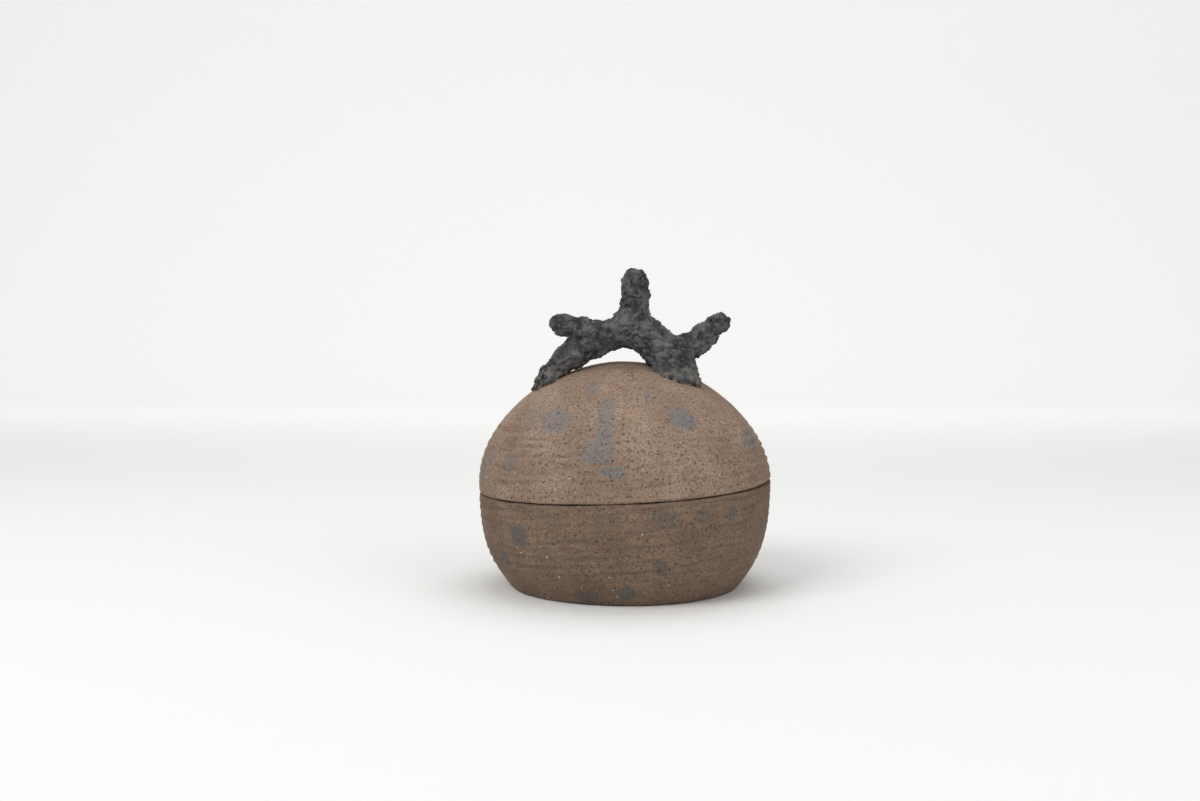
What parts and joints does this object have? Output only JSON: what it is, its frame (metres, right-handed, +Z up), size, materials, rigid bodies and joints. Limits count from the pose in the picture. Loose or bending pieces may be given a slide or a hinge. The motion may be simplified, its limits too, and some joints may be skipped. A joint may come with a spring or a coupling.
{
  "type": "lidded jar",
  "caption": "Round brown stoneware box cut in two halves, its lid located by a luted collar and lifted by a branch-like dark clay handle, with soft blue-grey slip spots.",
  "frame": {"origin": "centre of the flat foot, on the surface the jar stands on", "axes": "+Z up, +X to the right of the front view, +Y to the back"},
  "size_m": [0.1, 0.1, 0.1106],
  "materials": {
    "brown_stoneware": "unglazed, grogged, matte",
    "collar_stoneware": "unglazed, smooth, matte",
    "dark_clay": "unglazed, crusty, matte"
  },
  "bodies": {
    "base": {"base_bowl": "brown_stoneware", "locating_collar": "collar_stoneware"},
    "lid": {"lid_dome": "brown_stoneware", "handle_bridge": "dark_clay", "handle_crown_prong": "dark_clay", "handle_left_prong": "dark_clay", "handle_right_prong": "dark_clay", "left_foot_lute": "dark_clay", "right_foot_lute": "dark_clay"}
  },
  "joints": [
    {"name": "lid_lift", "type": "slide", "parent": "base", "child": "lid", "axis": [-0.0443, -0.0206, 0.9988], "range_m": [0, 0.07]}
  ]
}
